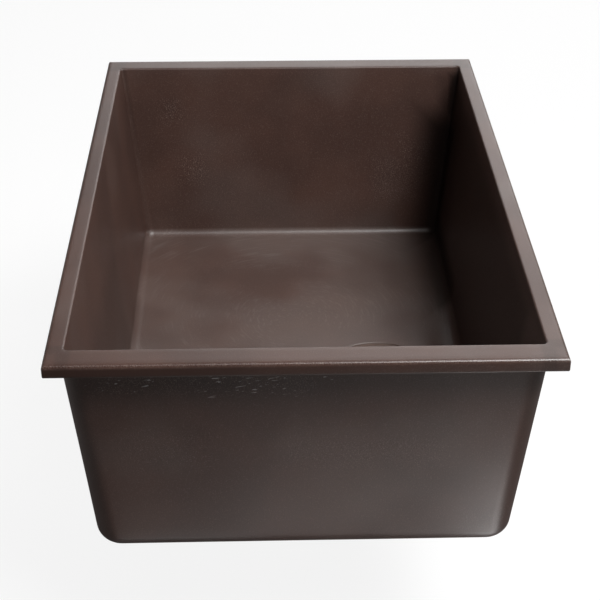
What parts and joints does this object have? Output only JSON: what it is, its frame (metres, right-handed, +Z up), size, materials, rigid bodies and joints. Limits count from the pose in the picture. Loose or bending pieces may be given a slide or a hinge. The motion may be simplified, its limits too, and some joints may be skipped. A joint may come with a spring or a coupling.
{
  "type": "undermount kitchen sink",
  "caption": "Deep rectangular undermount kitchen sink in dark brown moulded composite, with a flat rim, a lift-out basket strainer, a push-pull stopper and a straight tailpiece.",
  "frame": {"origin": "centre of the rim's top plane, which is bonded against the underside of the worktop", "axes": "+X along the long side, +Y towards the rear wall, where the outlet is, and +Z up"},
  "size_m": [0.6858, 0.4572, 0.4148],
  "materials": {
    "bowl_composite": "satin",
    "strainer_polymer": "satin",
    "seal_foam": "matte",
    "black_rubber": "matte",
    "red_fibre": "matte",
    "black_nylon": "satin",
    "white_polythene": "satin",
    "plated_brass": "polished",
    "basket_steel": "satin",
    "turned_steel": "polished"
  },
  "bodies": {
    "sink": {"sink_bowl": "bowl_composite", "strainer_body": "strainer_polymer", "flange_seal": "seal_foam", "rubber_gasket": "black_rubber", "fibre_washer": "red_fibre", "locknut": "black_nylon", "tailpiece_washer": "white_polythene", "tailpiece": "plated_brass", "coupling_nut": "plated_brass"},
    "basket": {"basket": "basket_steel", "basket_collar": "basket_steel", "grip_ring": "black_rubber"},
    "stopper": {"stopper_post": "turned_steel", "stopper_knob": "turned_steel", "stopper_plate": "basket_steel", "stopper_disc": "black_rubber", "stopper_washer": "turned_steel", "stopper_nut": "turned_steel"}
  },
  "joints": [
    {"name": "basket_lift", "type": "slide", "parent": "sink", "child": "basket", "axis": [0, 0, 1], "range_m": [0, 0.3]},
    {"name": "stopper_pull", "type": "slide", "parent": "basket", "child": "stopper", "axis": [0, 0, 1], "range_m": [0, 0.0085]}
  ]
}
